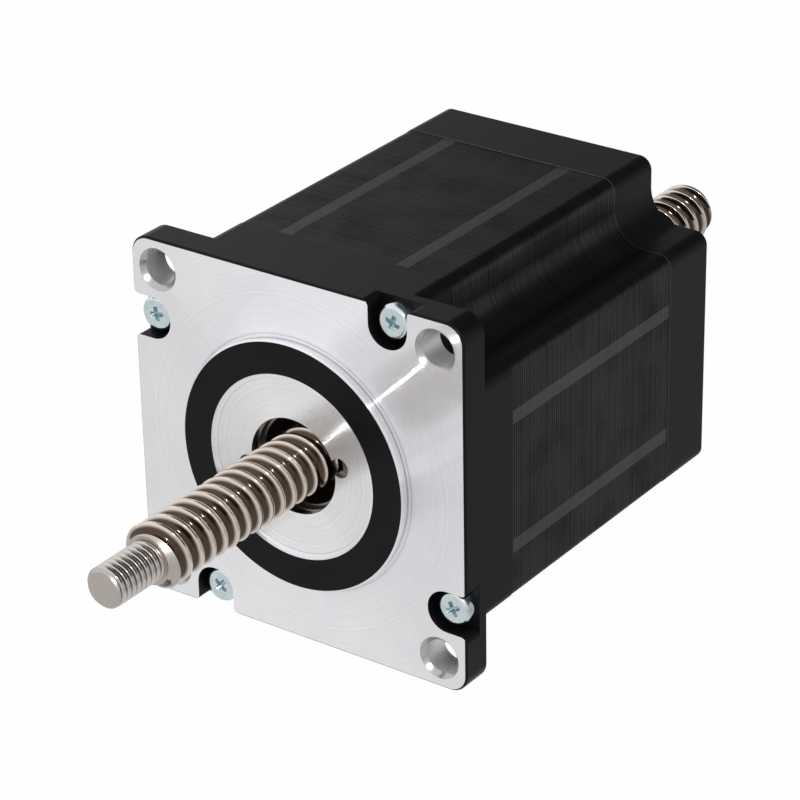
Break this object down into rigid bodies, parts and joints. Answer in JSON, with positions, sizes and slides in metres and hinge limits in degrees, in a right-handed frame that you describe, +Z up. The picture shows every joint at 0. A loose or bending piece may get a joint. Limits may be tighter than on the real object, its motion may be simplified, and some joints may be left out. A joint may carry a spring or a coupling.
{
  "type": "non-captive linear stepper motor",
  "caption": "Square-frame hybrid stepper motor with a hollow rotor and a long lead screw that slides right through it.",
  "frame": {"origin": "centre of the mounting face, on the motor axis", "axes": "+Y runs along the motor axis from the mounting face to the rear, +X to the right and +Z up as seen on the mounting face"},
  "size_m": [0.0564, 0.147, 0.0564],
  "materials": {
    "black_paint": "satin black paint on die-cast aluminium",
    "turned_face": "aluminium faced on a lathe",
    "black_stack": "black lacquer on stacked steel laminations",
    "turned_steel": "turned steel",
    "rotor_steel": "ground steel laminations",
    "bearing_steel": "ground bearing steel",
    "zinc_steel": "bright zinc plating",
    "screw_steel": "rolled stainless steel",
    "spring_steel": "hardened spring steel",
    "copper_wire": "enamelled copper wire",
    "frame_plastic": "moulded nylon",
    "nut_plastic": "moulded acetal, dark",
    "magnet_alloy": "nickel-plated magnet",
    "gland_rubber": "black rubber"
  },
  "bodies": {
    "motor": {"front_bell": "black_paint", "bearing_retainer": "turned_face", "stator_core": "black_stack", "front_winding_frame": "frame_plastic", "rear_winding_frame": "frame_plastic", "phase_a_windings": "copper_wire", "phase_b_windings": "copper_wire", "rear_bell": "black_paint", "spring_washer": "spring_steel", "tie_screws": "zinc_steel", "lead_gland": "gland_rubber", "front_bearing_outer_ring": "bearing_steel", "rear_bearing_outer_ring": "bearing_steel"},
    "rotor": {"rotor_sleeve": "turned_steel", "rotor_front_cup": "rotor_steel", "rotor_rear_cup": "rotor_steel", "rotor_magnet": "magnet_alloy", "lead_nut": "nut_plastic", "nut_clip": "spring_steel", "front_bearing_inner_ring": "bearing_steel", "rear_bearing_inner_ring": "bearing_steel"},
    "screw": {"lead_screw": "screw_steel"}
  },
  "joints": [
    {"name": "rotor_spin", "type": "hinge", "parent": "motor", "child": "rotor", "pos_m": [0, 0, 0], "axis": [0, 1, 0], "range_deg": [-1980, 4600]},
    {"name": "screw_slide", "type": "slide", "parent": "motor", "child": "screw", "axis": [0, 1, 0], "range_m": [-0.0652, 0.0282]}
  ],
  "couplings": [
    {"joint": "screw_slide", "follows": "rotor_spin", "m_per_rad": -0.00080851}
  ]
}
